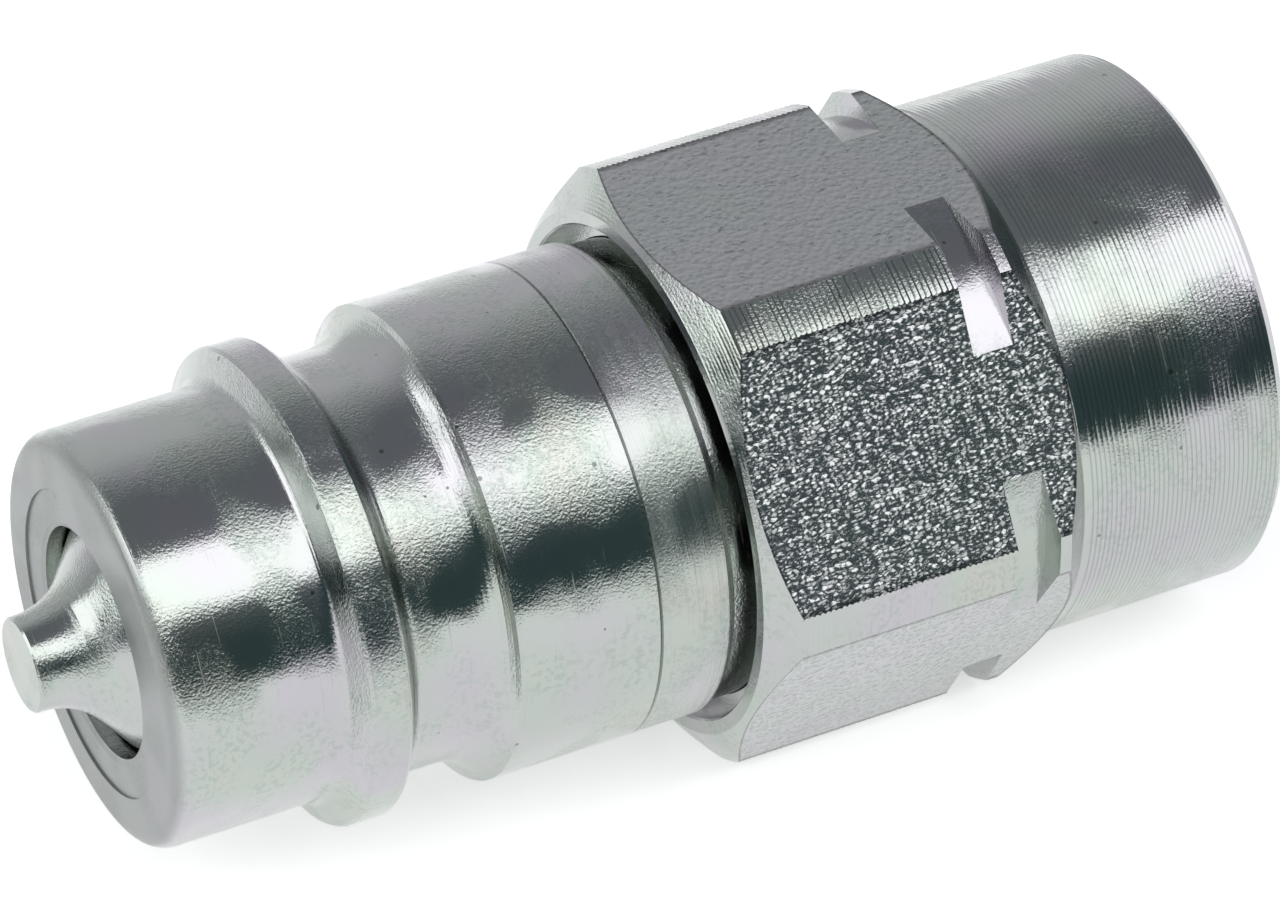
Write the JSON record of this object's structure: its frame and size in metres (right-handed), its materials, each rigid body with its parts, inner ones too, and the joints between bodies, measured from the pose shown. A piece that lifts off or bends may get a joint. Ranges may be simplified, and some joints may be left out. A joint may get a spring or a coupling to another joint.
{
  "type": "quick coupling plug",
  "caption": "Steel quick coupling plug with a sprung poppet valve in its nose, a locking collar and ball groove, and a hexagon with a threaded port.",
  "frame": {"origin": "on the axis, in the middle of the locking collar's land", "axes": "+X along the axis, out of the threaded port; the nose points to -X; +Z out of one wrench flat, and the plug lies on the opposite flat"},
  "size_m": [0.0607, 0.03, 0.027],
  "materials": {
    "plug_steel": "polished, bright zinc plated",
    "hex_steel": "turned and milled, bright zinc plated",
    "valve_steel": "satin, bright zinc plated",
    "seal_rubber": "moulded",
    "spring_steel": "drawn wire",
    "guide_steel": "turned",
    "backup_plastic": "turned"
  },
  "bodies": {
    "plug": {"nipple_body": "plug_steel", "adapter_body": "hex_steel", "guide_spider": "guide_steel", "guide_clip": "spring_steel", "body_oring": "seal_rubber", "backup_ring": "backup_plastic", "poppet_spring": "spring_steel"},
    "valve": {"poppet": "valve_steel", "poppet_seal": "seal_rubber"}
  },
  "joints": [
    {"name": "poppet_slide", "type": "slide", "parent": "plug", "child": "valve", "axis": [1, 0, 0], "range_m": [0, 0.0065], "stiffness_N_per_m": 2000, "springref_m": -0.008, "deforming": ["poppet_spring"]}
  ]
}
